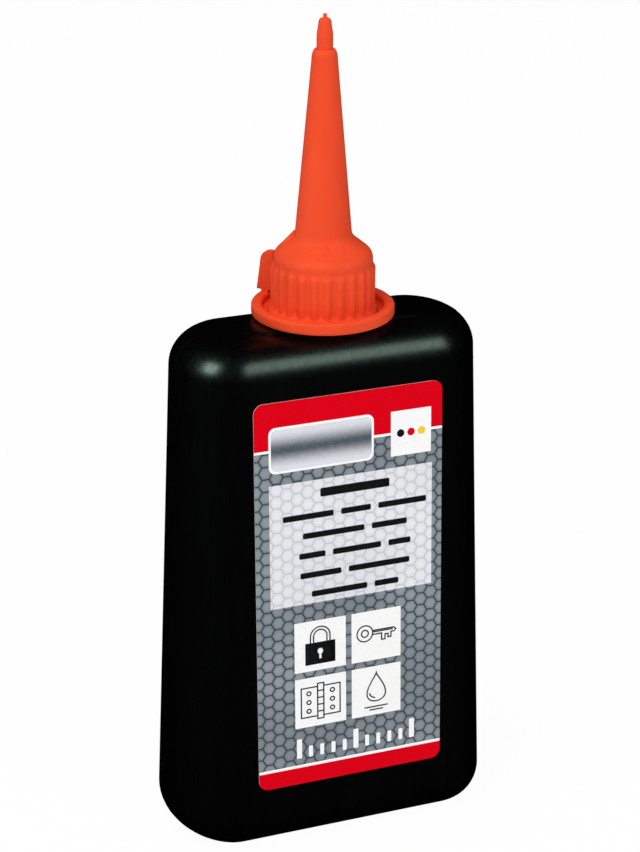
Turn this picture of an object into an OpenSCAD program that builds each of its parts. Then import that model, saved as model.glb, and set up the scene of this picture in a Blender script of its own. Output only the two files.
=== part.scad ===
// Graphite lock lubricant tube: a flat squeeze bottle with a screw-on spout.
// Millimetres. +Z is up, the label faces -Y, and the origin is the middle of the foot.
// Heights named _up are measured from the land, the flat on which the neck stands.

/* [Bottle body] */
// Height of the body, from the floor to the land
body_h = 95; // [85:1:120]
// Width of the body, its slanted sides carried down to the floor
base_w = 60.8; // [56:0.1:80]
// Depth of the body, its slanted faces carried down to the floor
base_d = 29.7; // [27:0.1:40]
// Width of the body, its slanted sides carried up to the land
top_w = 55; // [54:0.1:70]
// Depth of the body, its slanted faces carried up to the land
top_d = 22.5; // [21:0.1:32]
// Width of each rounded side, seen from above
side_run = 9.8; // [8:0.1:10]
// Thickness of the blown wall
wall = 1; // [0.6:0.1:1.4]
// Round between the foot and the sides
foot_r = 6.3; // [4:0.1:7]
// Width of the flat rim that the bottle stands on
foot_rim = 2.5; // [1.5:0.1:3]
// Rise of the hollow inside that rim
push_up = 1; // [0.4:0.1:1.6]
// Round of the shoulder, measured along the width
shoulder_run_x = 6.7; // [4:0.1:8]
// Round of the shoulder, measured along the depth
shoulder_run_y = 5.8; // [4:0.1:6.4]
// Height of the round of the shoulder
shoulder_rise = 6.3; // [4:0.1:8]
// Rise from that round to the land
crown = 0.7; // [0.3:0.1:1.5]

/* [Neck] */
// Radius of the neck under its screw threads
neck_r = 6.75; // [6.4:0.05:7]
// Radius of the bore through the neck
bore_r = 5.2; // [4.4:0.1:5.4]
// Height of the rim above the land
neck_up = 9.1; // [8:0.1:12]
// Radius of the collar at the foot of the neck
collar_r = 8.1; // [7.6:0.1:8.6]
// Height of the collar above the land
collar_up = 0.3; // [0.2:0.1:1]
// Chamfer on both edges of the rim
rim_bevel = 0.4; // [0.2:0.1:0.5]

/* [Sealing washer] */
// Thickness of the foam washer between the rim and the cap
washer_t = 0.9; // [0.5:0.1:1.5]
// Play between the washer and the skirt round it
washer_play = 0.15; // [0.05:0.05:0.3]

/* [Spout cap] */
// Room between the neck and the skirt, which the screw threads take up
thread_room = 0.9; // [0.7:0.05:1]
// Thickness of the skirt between its ribs
skirt_wall = 0.95; // [0.8:0.05:1.1]
// Space between the collar and the mouth of the skirt
skirt_play = 0.2; // [0.1:0.1:0.8]
// How far the skirt flares at its mouth
flare = 0.85; // [0.5:0.05:0.9]
// Height of that flare
flare_h = 1.4; // [1:0.1:2]
// Number of grip ribs round the skirt
rib_count = 24; // [16:1:28]
// Radius of each rib
rib_r = 0.8; // [0.6:0.05:0.9]
// How far the ribs stand out of the skirt
rib_out = 0.45; // [0.3:0.05:0.5]
// Height over which the top of a rib fades into the skirt
rib_fade = 1.6; // [1:0.1:2.5]
// Direction of the first rib, counter-clockwise from +X
rib_turn = -2.75; // [-7.5:0.25:7.5]
// Straight rise of the skirt above its ceiling
skirt_rise = 0.25; // [0.1:0.05:0.6]
// Round between the skirt and the cone above it
cone_round = 2.2; // [1.6:0.1:2.6]
// Rise of the cone, from the ceiling of the skirt to the root of the spout
cone_h = 4.25; // [3.8:0.05:5]
// Radius of the spout at its root
spout_root_r = 4.95; // [4.7:0.05:5.2]
// Radius of the spout under its nose
spout_end_r = 2.25; // [2:0.05:2.6]
// Length of the tapered spout, from the cone to its nose
spout_h = 30.65; // [24:0.05:44]
// Length of the rounded nose
nose_h = 2; // [1.5:0.1:2.5]
// Radius of the flat on the nose, where the tip breaks off
nose_r = 1.5; // [1.45:0.05:1.8]
// Thickness of the spout wall
spout_wall = 1.1; // [0.8:0.05:1.2]
// Radius of the outlet in the nose
outlet_r = 0.9; // [0.6:0.05:1]
// Number of gussets between the spout and the cone
gusset_count = 4; // [3:1:6]
// Height of a gusset above the root of the spout
gusset_h = 0.7; // [0.4:0.1:1.6]
// Width of a gusset at its top
gusset_top_w = 2.3; // [1.5:0.1:3]
// Width of a gusset at its foot
gusset_foot_w = 3.2; // [2.5:0.1:3.6]
// Height of the foot of a gusset above the ceiling of the skirt
gusset_low = 1.5; // [1.1:0.1:1.6]
// How far a gusset reaches out from the root of the spout
gusset_reach = 3.05; // [2.6:0.05:3.1]

/* [Spout tip] */
// Radius of the straight part of the closed tip
tip_r = 1.4; // [1.2:0.05:1.4]
// Length of the straight part
tip_straight = 2.4; // [1.5:0.1:4]
// Length of the tapered part above it
tip_taper = 2; // [1.5:0.1:3]
// Radius at the top of the tapered part
tip_top_r = 1.1; // [0.9:0.05:1.15]
// Height of the rounded top
tip_round = 0.8; // [0.5:0.1:1]
// Radius of the moulding nub on the top
nub_r = 0.33; // [0.25:0.01:0.4]
// Height of that nub
nub_h = 0.7; // [0.3:0.1:0.9]
// Radius of the blind hole in the tip
tip_bore_r = 0.55; // [0.4:0.05:0.6]

/* [Tear ring] */
// Play between the flared skirt and the ring
ring_play = 1.05; // [0.6:0.05:1.2]
// Width of the ring, from its hole to its edge
ring_w = 1.85; // [1.5:0.05:2.4]
// Height of the ring
ring_h = 1.5; // [1.3:0.1:2.2]
// Round on the edges of the ring
ring_round = 0.6; // [0.3:0.05:0.6]
// Play between the land and the ring
ring_seat = 0.1; // [0.05:0.05:0.2]

/* [Pull tab] */
// Height of the tab, which stands like a fin
tab_h = 8; // [6:0.1:9]
// Thickness of the tab
tab_t = 1.2; // [0.8:0.05:1.5]
// Play between the flared skirt and the inner edge of the tab
tab_play = 0.35; // [0.3:0.05:0.6]
// How far the tab stands out past the ring
tab_over = 0.4; // [0.1:0.1:0.8]
// How far the outer edge of the tab leans in at its top
tab_lean = 0.5; // [0.1:0.1:0.6]
// Round on the outer upper corner of the tab
tab_round = 1.9; // [0.6:0.1:2]
// Round on the inner upper corner of the tab
tab_corner = 0.4; // [0.2:0.1:0.4]
// Height of the film hinge between the ring and the tab
film_h = 0.2; // [0.1:0.05:0.3]
// Direction of the tab, counter-clockwise from +X
tab_angle = 130; // [0:5:355]

/* [Front label] */
// Width of the label
label_w = 35.3; // [28:0.1:35.4]
// Height of the label
label_h = 72.5; // [60:0.5:74]
// Distance from the floor up the face to the label
label_low = 12.05; // [10:0.05:14]
// Round on the corners of the label
label_r = 1.8; // [0.5:0.1:4]
// Thickness of the label
label_t = 0.12; // [0.08:0.01:0.3]
// Thickness of the glue under the label
glue_t = 0.02; // [0.01:0.01:0.05]

/* [Graphite] */
// Height of the top of the graphite above the floor
fill_h = 81.5; // [40:0.5:84]
// Play between the graphite and the wall
fill_play = 0.1; // [0.05:0.05:0.3]

/* [Hidden] */
$fn = 64;
cut = 0.5;           // overrun of every cut
rib_sink = 0.15;     // how deep the faded top of a rib ends in the skirt
side_steps = 20;     // facets round each side of the body
foot_steps = 7;      // facets from the foot to the side
shoulder_steps = 9;  // facets from the side to the top of the shoulder
arc_steps = 8;       // steps of each arc in a turned outline
quarter = 90;        // degrees in a quarter turn
land_depth_share = 0.8;  // depth of the land, as a share of the top of the shoulder

// Turned outlines
skirt_in_r = neck_r + thread_room;
skirt_r = skirt_in_r + skirt_wall;
flare_r = skirt_r + flare;
skirt_up = collar_up + skirt_play;
ceiling_up = neck_up + washer_t;
spout_up = ceiling_up + cone_h;
nose_up = spout_up + spout_h;
tip_up = nose_up + nose_h;
ring_r = flare_r + ring_play;
ring_out_r = ring_r + ring_w;
tab_in_r = flare_r + tab_play;
tab_out_r = ring_out_r + tab_over;
shoulder_low = body_h - crown - shoulder_rise;
land_half_w = ring_out_r + ring_round;
push_shift = tan(quarter / 4);  // sideways shift of a 45 degree corner, for each unit of inset

// Half width, half depth and width of the rounded sides at a height, with the faces drawn in
function half_w(z) = (base_w + (top_w - base_w) * z / body_h) / 2;
function half_d(z) = (base_d + (top_d - base_d) * z / body_h) / 2;
function level(in_x, in_y, z) =
    [half_w(z) - in_x, half_d(z) - in_y, side_run * (half_d(z) - in_y) / half_d(z), z];

// Levels of the body from the middle of the foot out and up, each face moved in by an inset
function foot_levels(inset) = [
    for (k = [1, 0])
        let (d = foot_r + foot_rim + k * push_up - inset * push_shift)
        level(d, d, inset + k * push_up),
    for (k = [0 : foot_steps])
        let (a = quarter * k / foot_steps, r = foot_r - inset, d = inset + r * (1 - sin(a)))
        level(d, d, inset + r * (1 - cos(a)))
];
function shoulder_levels(inset) = [
    for (k = [0 : shoulder_steps])
        let (a = quarter * k / shoulder_steps, turned = 1 - cos(a))
        level(inset + (shoulder_run_x - inset) * turned, inset + (shoulder_run_y - inset) * turned,
              shoulder_low + (shoulder_rise - inset) * sin(a))
];
function land_level(inset) =
    let (top = shoulder_levels(inset)[shoulder_steps], d = top[1] * land_depth_share)
    [land_half_w - inset, d, top[2] * land_depth_share, body_h - inset];

// Points of one level: two half ellipses joined by straight front and back edges
function level_points(l) = [
    for (side = [0, 1], k = [0 : side_steps])
        let (a = 2 * quarter * (k / side_steps + side) - quarter, straight = l[0] - l[2])
        [(side == 0 ? straight : -straight) + l[2] * cos(a), l[1] * sin(a), l[3]]
];

// Closed skin over a stack of levels
module skin(levels) {
    n = 2 * (side_steps + 1);
    rows = len(levels);
    polyhedron(
        points = [for (l = levels) each level_points(l)],
        faces = concat(
            [[for (k = [0 : n - 1]) k]],
            [for (i = [0 : rows - 2], k = [0 : n - 1], half = [0, 1])
                let (a = i * n + k, b = i * n + (k + 1) % n)
                half == 0 ? [a, a + n, b] : [b, a + n, b + n]],
            [[for (k = [n - 1 : -1 : 0]) (rows - 1) * n + k]]),
        convexity = 4);
}

function body_levels(inset) =
    concat(foot_levels(inset), shoulder_levels(inset), [land_level(inset)]);

// Blown bottle: hollow body, collar and neck
module bottle() {
    neck_low = shoulder_low - body_h;
    rim_r = neck_r - rim_bevel;
    color("#1b1c1e")
    difference() {
        union() {
            skin(body_levels(0));
            translate([0, 0, body_h]) rotate_extrude()
                polygon([[0, neck_low], [neck_r, neck_low], [collar_r, -crown], [collar_r, collar_up],
                         [neck_r, collar_up], [neck_r, neck_up - rim_bevel], [rim_r, neck_up], [0, neck_up]]);
        }
        skin(body_levels(wall));
        translate([0, 0, body_h - wall - cut]) cylinder(r = bore_r, h = neck_up + wall + 2 * cut);
        translate([0, 0, body_h + neck_up - rim_bevel])
            cylinder(r1 = bore_r, r2 = bore_r + rim_bevel + cut, h = rim_bevel + cut);
    }
}

// Thin label on the slanted flat of the front face
module front_label() {
    slant = atan((base_d - top_d) / 2 / body_h);
    half = [label_w / 2 - label_r, label_h / 2 - label_r];
    color("#c9d0cf")
    translate([0, -base_d / 2, 0]) rotate([quarter - slant, 0, 0])
        translate([0, label_low + label_h / 2, glue_t])
        linear_extrude(height = label_t) {
            square([label_w, 2 * half[1]], center = true);
            square([2 * half[0], label_h], center = true);
            for (x = [-1, 1], y = [-1, 1])
                translate([x * half[0], y * half[1]]) circle(r = label_r);
        }
}

// Graphite powder that fills the body up to a level
module graphite_fill() {
    inset = wall + fill_play;
    color("#55585b")
    skin(concat(foot_levels(inset), [level(inset, inset, fill_h)]));
}

// Foam washer on the rim of the neck
module seal_washer() {
    color("#e8e6df")
    translate([0, 0, body_h + neck_up])
    difference() {
        cylinder(r = skirt_in_r - washer_play, h = washer_t);
        translate([0, 0, -cut]) cylinder(r = bore_r, h = washer_t + 2 * cut);
    }
}

// Radius of the spout at a height above its root
function spout_r(up) = spout_root_r + (spout_end_r - spout_root_r) * up / spout_h;
// Round from the skirt to the cone, which leaves it as a tangent and ends at the root of the spout
round_eye = [skirt_r - cone_round, ceiling_up + skirt_rise];
eye_to_root = [spout_root_r, spout_up] - round_eye;
round_turn = atan2(eye_to_root[1], eye_to_root[0]) - acos(cone_round / norm(eye_to_root));
function round_point(a) = round_eye + cone_round * [cos(a), sin(a)];
// Arc of the nose, from the spout in to its flat
function nose_point(a) =
    [nose_r + (spout_end_r - nose_r) * cos(a), nose_up + nose_h * sin(a)];

// Skirt, cone and tapered spout, turned from one outline
module turned_cap() {
    rotate_extrude() polygon(concat(
        [[skirt_in_r, ceiling_up], [skirt_in_r, skirt_up + rim_bevel], [skirt_in_r + rim_bevel, skirt_up],
         [flare_r, skirt_up], [flare_r, skirt_up + flare_h / 2], [skirt_r, skirt_up + flare_h]],
        [for (k = [0 : arc_steps]) round_point(round_turn * k / arc_steps)],
        [[spout_root_r, spout_up]],
        [for (k = [0 : arc_steps]) nose_point(quarter * k / arc_steps)],
        [[outlet_r, tip_up], [outlet_r, nose_up], [spout_end_r - spout_wall, nose_up],
         [spout_root_r - spout_wall, spout_up], [spout_root_r - spout_wall / 2, ceiling_up]]));
}

// One grip rib, faded into the skirt at its top
module grip_rib() {
    rib_low = skirt_up + flare_h / 2;
    straight_h = ceiling_up - rib_fade - rib_low;
    translate([skirt_r + rib_out - rib_r, 0, rib_low]) {
        cylinder(r = rib_r, h = straight_h, $fn = 24);
        translate([0, 0, straight_h])
            cylinder(r1 = rib_r, r2 = rib_r - rib_out - rib_sink, h = rib_fade, $fn = 24);
    }
}

// One buttress between the cone and the spout, narrower at its top
module gusset() {
    root = spout_root_r - spout_wall / 2;
    out_r = spout_root_r + gusset_reach;
    foot_up = ceiling_up + gusset_low;
    top_up = spout_up + gusset_h;
    intersection() {
        rotate([quarter, 0, 0]) translate([0, 0, -gusset_foot_w / 2])
            linear_extrude(height = gusset_foot_w)
            polygon([[root, foot_up], [out_r, foot_up], [spout_r(gusset_h) + spout_wall / 4, top_up],
                     [root, top_up]]);
        rotate([quarter, 0, quarter]) linear_extrude(height = out_r + cut)
            polygon([[-gusset_foot_w / 2, foot_up], [gusset_foot_w / 2, foot_up],
                     [gusset_top_w / 2, top_up], [-gusset_top_w / 2, top_up]]);
    }
}

// Screw cap and spout in one moulding
module spout_cap() {
    color("#ee4a2b")
    translate([0, 0, body_h]) {
        turned_cap();
        for (k = [0 : rib_count - 1]) rotate([0, 0, rib_turn + 4 * quarter * k / rib_count]) grip_rib();
        for (k = [0 : gusset_count - 1]) rotate([0, 0, 4 * quarter * k / gusset_count]) gusset();
    }
}

// Closed tip that is cut off before use
module spout_tip() {
    straight_up = tip_up + tip_straight;
    round_up = straight_up + tip_taper;
    top_up = round_up + tip_round;
    color("#f25632")
    translate([0, 0, body_h])
    difference() {
        rotate_extrude() polygon(concat(
            [[0, tip_up], [tip_r, tip_up], [tip_r, straight_up]],
            [for (k = [0 : arc_steps - 1])
                let (a = quarter * k / arc_steps)
                [nub_r + (tip_top_r - nub_r) * cos(a), round_up + tip_round * sin(a)]],
            [[nub_r, top_up], [nub_r, top_up + nub_h], [0, top_up + nub_h]]));
        translate([0, 0, tip_up - cut]) cylinder(r = tip_bore_r, h = tip_straight + cut);
    }
}

// Ring round the foot of the cap, torn off before the cap is first turned
module tear_ring() {
    low = ring_seat;
    color("#f04f2d")
    translate([0, 0, body_h]) rotate_extrude() polygon(concat(
        [[ring_r, low]],
        [for (k = [0 : arc_steps])
            let (a = quarter * (k / arc_steps - 1))
            [ring_out_r + ring_round * (cos(a) - 1), low + ring_round * (1 + sin(a))]],
        [for (k = [0 : arc_steps])
            let (a = quarter * k / arc_steps)
            [ring_out_r + ring_round * (cos(a) - 1), low + ring_h + ring_round * (sin(a) - 1)]],
        [for (k = [0 : arc_steps])
            let (a = quarter * (k / arc_steps + 1))
            [ring_r + ring_round * (cos(a) + 1), low + ring_h + ring_round * (sin(a) - 1)]]));
}

// Upright fin on the ring, which tips over sideways on its film hinge
module pull_tab() {
    outer_eye = [tab_out_r - tab_lean - tab_round, tab_h - tab_round];
    inner_eye = [tab_in_r + tab_corner, tab_h - tab_corner];
    color("#f25632")
    rotate([0, 0, tab_angle])
    translate([0, tab_t / 2, body_h + ring_seat + ring_h + film_h])
        rotate([quarter, 0, 0]) linear_extrude(height = tab_t)
        polygon(concat(
            [[tab_in_r, 0], [tab_out_r, 0]],
            [for (k = [0 : arc_steps])
                let (a = quarter * k / arc_steps) outer_eye + tab_round * [cos(a), sin(a)]],
            [for (k = [0 : arc_steps])
                let (a = quarter * (k / arc_steps + 1)) inner_eye + tab_corner * [cos(a), sin(a)]]));
}

bottle();
front_label();
graphite_fill();
seal_washer();
spout_cap();
spout_tip();
tear_ring();
pull_tab();
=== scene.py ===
"""Looks, light and camera of a flat squeeze bottle of graphite with a long spout.

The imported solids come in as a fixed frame. Each class below builds one sub-assembly as finer meshes in the
same place, dresses them and rides them on the body that carries them. Lengths are in metres, +Z is up, and
the label faces -Y.
"""
import logging
from collections.abc import Callable, Iterable
from dataclasses import dataclass
from enum import Enum
from math import acos, asin, atan, atan2, cos, hypot, pi, radians, sin, sqrt, tan

import bmesh
import bpy
from mathutils import Matrix, Vector


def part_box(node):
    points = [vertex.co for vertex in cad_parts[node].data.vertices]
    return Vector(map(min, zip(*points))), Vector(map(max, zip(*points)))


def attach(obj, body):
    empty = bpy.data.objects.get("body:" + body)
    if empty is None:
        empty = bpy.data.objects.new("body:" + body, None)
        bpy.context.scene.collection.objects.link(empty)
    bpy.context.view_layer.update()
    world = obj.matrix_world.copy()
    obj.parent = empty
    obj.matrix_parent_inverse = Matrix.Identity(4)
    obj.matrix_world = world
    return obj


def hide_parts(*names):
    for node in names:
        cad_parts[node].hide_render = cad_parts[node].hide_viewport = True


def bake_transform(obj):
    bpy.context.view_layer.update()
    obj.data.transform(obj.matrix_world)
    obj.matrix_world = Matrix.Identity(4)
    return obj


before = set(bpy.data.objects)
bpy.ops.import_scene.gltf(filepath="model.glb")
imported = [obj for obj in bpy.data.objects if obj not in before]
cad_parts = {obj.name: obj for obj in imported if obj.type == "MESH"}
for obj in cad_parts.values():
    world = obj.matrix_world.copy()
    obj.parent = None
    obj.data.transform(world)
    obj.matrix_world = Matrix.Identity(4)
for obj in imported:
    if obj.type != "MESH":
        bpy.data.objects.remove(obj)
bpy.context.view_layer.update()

log = logging.getLogger("spout_bottle")

MM = 0.001
TURN = 2 * pi
QUARTER = pi / 2
# Vertices nearer than this are merged
MERGE = 0.0005 * MM
# Slivers narrower than this are dissolved
SLIVER = 0.001 * MM
# Coordinates nearer than this count as the same
SAME_PLACE = 0.01 * MM
# Least sine that a length is divided by
LEAST_SINE = 0.001
# Degrees of turn from which an edge stays crisp
SHARP = 35
# Spans of a noise: nearly all of its values, the middle ones and the higher ones
NOISE_SPAN = (0.3, 0.7)
MIDDLE_SPAN = (0.35, 0.65)
HIGH_SPAN = (0.4, 0.75)
Colour = tuple[float, float, float, float]
Edges = tuple[float, float, float, float]
Point = tuple[float, float]
Span = tuple[float, float]
# Open and closed lines, in shares of the square that they are drawn in
Drawing = tuple[list[list[Point]], list[list[Point]]]


class Body(Enum):
    """Bodies of the frame that new pieces ride on."""

    BOTTLE = "bottle"
    CAP = "cap"
    TIP = "tip"
    RING = "ring"
    TAB = "tab"


class Slot(Enum):
    """Material slots of the record; no piece here is given one."""

    BOTTLE = "bottle_plastic"
    LABEL = "label_film"
    CAP = "cap_plastic"


def linear(red: int, green: int, blue: int) -> Colour:
    """Turn a display colour into the linear colour that a shader takes.

    Args:
        red, green, blue: levels from 0 to 255, as a screen shows them.

    Returns:
        The linear colour with full alpha.
    """
    def channel(level: int) -> float:
        share = level / 255
        return share / 12.92 if share <= 0.04045 else ((share + 0.055) / 1.055) ** 2.4

    return (channel(red), channel(green), channel(blue), 1.0)


def ease(share: float) -> float:
    """Smooth step from 0 to 1, held at both ends."""
    held = min(max(share, 0.0), 1.0)
    return held * held * (3 - 2 * held)


def larger(one: float, other: float, round_by: float) -> float:
    """Larger of two radii, with a fillet of about round_by where they cross."""
    return (one + other + sqrt((one - other) ** 2 + round_by ** 2)) / 2


def arc(centre: Point, radii: Point, start: float, end: float, steps: int) -> list[Point]:
    """Points of an elliptical arc.

    Args:
        centre: middle of the ellipse.
        radii: its two half axes.
        start, end: angles in radians, counter-clockwise from the first axis.
        steps: number of stretches.

    Returns:
        One more point than there are stretches.
    """
    turns = [start + (end - start) * k / steps for k in range(steps + 1)]
    return [(centre[0] + radii[0] * cos(a), centre[1] + radii[1] * sin(a)) for a in turns]


def run(start: Point, end: Point, steps: int) -> list[Point]:
    """Evenly spaced points of a straight stretch, without its first one."""
    shares = [k / steps for k in range(1, steps + 1)]
    return [(start[0] + (end[0] - start[0]) * s, start[1] + (end[1] - start[1]) * s) for s in shares]


def bend(start: Point, corner: Point, end: Point, reach: float, steps: int) -> list[Point]:
    """Points of the round at the corner of two straight stretches.

    Args:
        start, corner, end: the stretches.
        reach: length of each stretch that the round takes up.
        steps: number of stretches in the round.

    Returns:
        One more point than there are stretches.
    """
    middle, sides = Vector(corner), [Vector(end_point) - Vector(corner) for end_point in (start, end)]
    first, last = (side.normalized() * reach for side in sides)
    shares = [k / steps for k in range(steps + 1)]
    return [tuple(middle + first * (1 - s) ** 2 + last * s ** 2) for s in shares]


def points_of(geometry: Iterable[object]) -> list[bmesh.types.BMVert]:
    """Vertices among the results of an operator."""
    return [item for item in geometry if isinstance(item, bmesh.types.BMVert)]


def round_corners(bm: bmesh.types.BMesh, corners: list[bmesh.types.BMVert], radius: float,
                  segments: int) -> list[bmesh.types.BMVert]:
    """Round corners of a flat face.

    Args:
        bm: the mesh.
        corners: the corners.
        radius: how far each round reaches along its sides.
        segments: stretches in each round.

    Returns:
        The vertices of the rounds.
    """
    return bmesh.ops.bevel(bm, geom=corners, offset=radius, segments=segments, profile=0.5, affect="VERTICES",
                           material=-1)["verts"]


def settle(bm: bmesh.types.BMesh, size: Iterable[float], middle: Iterable[float],
           verts: list[bmesh.types.BMVert] | None = None) -> None:
    """Scale unit geometry to its size and move it to its place.

    Args:
        bm: the mesh.
        size: its measures along the axes.
        middle: where its middle comes to lie.
        verts: its vertices, or all of them.
    """
    moved = verts or bm.verts[:]
    bmesh.ops.scale(bm, vec=size, verts=moved)
    bmesh.ops.translate(bm, vec=middle, verts=moved)


def turn_mesh(bm: bmesh.types.BMesh, angle: float) -> None:
    """Turn a whole mesh about Z."""
    bmesh.ops.rotate(bm, cent=(0, 0, 0), matrix=Matrix.Rotation(angle, 3, "Z"), verts=bm.verts[:])


def face_outward(bm: bmesh.types.BMesh) -> None:
    """Turn all faces of a closed mesh outward, also where thin ends mislead the usual test."""
    bmesh.ops.recalc_face_normals(bm, faces=bm.faces[:])
    if bm.calc_volume(signed=True) < 0:
        bmesh.ops.reverse_faces(bm, faces=bm.faces[:])


def turned(outline: list[Point], steps: int, closed: bool = True) -> bmesh.types.BMesh:
    """Spin an outline of radius and height about Z.

    Args:
        outline: points (radius, height). An open outline starts and ends on the axis.
        steps: faces round the full turn.
        closed: whether the last point joins the first.

    Returns:
        A closed mesh with its faces outward.
    """
    bm = bmesh.new()
    verts = [bm.verts.new((radius, 0.0, height)) for radius, height in outline]
    ends = verts[1:] + verts[:1] if closed else verts[1:]
    edges = [bm.edges.new(pair) for pair in zip(verts, ends)]
    bmesh.ops.spin(bm, geom=verts + edges, axis=(0, 0, 1), cent=(0, 0, 0), angle=TURN, steps=steps,
                   use_merge=True)
    bmesh.ops.remove_doubles(bm, verts=bm.verts[:], dist=MERGE)
    face_outward(bm)
    return bm


def soften(mesh: bpy.types.Mesh, sharp: float) -> None:
    """Shade a mesh smooth, but for the edges that turn by more than a number of degrees."""
    mesh.shade_smooth()
    mesh.set_sharp_from_angle(angle=radians(sharp))


def piece(bm: bmesh.types.BMesh, name: str, sharp: float = SHARP) -> bpy.types.Object:
    """Make a smooth-shaded object of a finished bmesh.

    Args:
        bm: the mesh, which is freed.
        name: name of the object.
        sharp: edges that turn by more degrees than this stay crisp.

    Returns:
        The new object, linked to the scene.
    """
    mesh = bpy.data.meshes.new(name)
    bm.to_mesh(mesh)
    bm.free()
    soften(mesh, sharp)
    made = bpy.data.objects.new(name, mesh)
    bpy.context.scene.collection.objects.link(made)
    return made


def combine(base: bpy.types.Object, tool: bpy.types.Object, operation: str) -> None:
    """Join a closed mesh to another, or cut it away, and drop the tool.

    Args:
        base: the object that is changed.
        tool: the object that is used up.
        operation: UNION or DIFFERENCE.
    """
    modifier = base.modifiers.new("combine", "BOOLEAN")
    modifier.operation = operation
    modifier.solver = "EXACT"
    modifier.object = tool
    solved = base.evaluated_get(bpy.context.evaluated_depsgraph_get())
    mesh = bpy.data.meshes.new_from_object(solved)
    base.modifiers.clear()
    base.data = mesh
    bpy.data.objects.remove(tool)


def drop_slivers(made: bpy.types.Object) -> None:
    """Dissolve the slivers without area that joins and cuts leave in a mesh."""
    bm = bmesh.new()
    bm.from_mesh(made.data)
    bmesh.ops.remove_doubles(bm, verts=bm.verts[:], dist=SLIVER)
    bmesh.ops.dissolve_degenerate(bm, edges=bm.edges[:], dist=SLIVER)
    bm.to_mesh(made.data)
    bm.free()


class Recipe:
    """Node tree of one material, filled by small named steps.

    Attributes:
        colour_inputs: places of the share and of the two colours among a Mix node's inputs.
        colour_output: place of the mixed colour among its outputs.
    """

    colour_inputs: tuple[int, int, int] = (0, 6, 7)
    colour_output: int = 2

    def __init__(self, name: str, space: str = "Object") -> None:
        """Start a material whose patterns lie in the coordinates of its object."""
        self.material = bpy.data.materials.new(name)
        self.material.use_nodes = True
        self.nodes = self.material.node_tree.nodes
        self.links = self.material.node_tree.links
        self.shader = self.nodes["Principled BSDF"]
        self.place = self.add("ShaderNodeTexCoord").outputs[space]

    def add(self, kind: str, **settings: object) -> bpy.types.Node:
        """Add a node and set its properties."""
        node = self.nodes.new(kind)
        for key, value in settings.items():
            setattr(node, key, value)
        return node

    def feed(self, socket: bpy.types.NodeSocket, value: object) -> None:
        """Link a socket to an input, or set the input's own value."""
        if isinstance(value, bpy.types.NodeSocket):
            self.links.new(value, socket)
        else:
            socket.default_value = value

    def feed_all(self, node: bpy.types.Node, *values: object) -> bpy.types.Node:
        """Feed the inputs of a node in their order."""
        for socket, value in zip(node.inputs, values):
            self.feed(socket, value)
        return node

    def math(self, operation: str, *values: object) -> bpy.types.NodeSocket:
        """Result of a Math node."""
        return self.feed_all(self.add("ShaderNodeMath", operation=operation), *values).outputs[0]

    def vector(self, operation: str, *values: object) -> bpy.types.NodeSocket:
        """Result of a Vector Math node."""
        return self.feed_all(self.add("ShaderNodeVectorMath", operation=operation), *values).outputs["Vector"]

    def parts(self, vector: object) -> list[bpy.types.NodeSocket]:
        """The x, y and z of a vector."""
        return list(self.feed_all(self.add("ShaderNodeSeparateXYZ"), vector).outputs)

    def noise(self, size: float, stretch: tuple[float, float, float] = (1, 1, 1),
              detail: float = 3.0) -> bpy.types.NodeSocket:
        """Noise whose features are about size wide.

        Args:
            size: width of a feature, in metres.
            stretch: how often it repeats along each axis, as a share of that.
            detail: how many finer layers it has.

        Returns:
            A value round one half.
        """
        node = self.add("ShaderNodeTexNoise")
        self.feed(node.inputs["Vector"], self.vector("MULTIPLY", self.place, stretch))
        self.feed(node.inputs["Scale"], 1 / size)
        self.feed(node.inputs["Detail"], detail)
        return node.outputs["Fac"]

    def span(self, value: object, low: float, high: float, to_low: float = 0.0,
             to_high: float = 1.0) -> bpy.types.NodeSocket:
        """Carry a value smoothly from one range to another."""
        node = self.add("ShaderNodeMapRange", interpolation_type="SMOOTHSTEP")
        return self.feed_all(node, value, low, high, to_low, to_high).outputs["Result"]

    def blend(self, share: object, low: object, high: object) -> bpy.types.NodeSocket:
        """Mix two colours by a share."""
        node = self.add("ShaderNodeMix", data_type="RGBA")
        for index, item in zip(self.colour_inputs, (share, low, high)):
            self.feed(node.inputs[index], item)
        return node.outputs[self.colour_output]

    def emboss(self, height: object, depth: float) -> None:
        """Bump the surface by a height from 0 to 1 times a depth in metres."""
        node = self.add("ShaderNodeBump")
        self.feed(node.inputs["Distance"], depth)
        self.feed(node.inputs["Height"], height)
        self.links.new(node.outputs["Normal"], self.shader.inputs["Normal"])

    def dress(self, **values: object) -> bpy.types.Material:
        """Feed the shader's sockets, named in lower case with underscores.

        Returns:
            The finished material.
        """
        for name, value in values.items():
            words = name.split("_")
            title = " ".join(word.upper() if word == "ior" else word.capitalize() for word in words)
            self.feed(self.shader.inputs[title], value)
        return self.material


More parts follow.
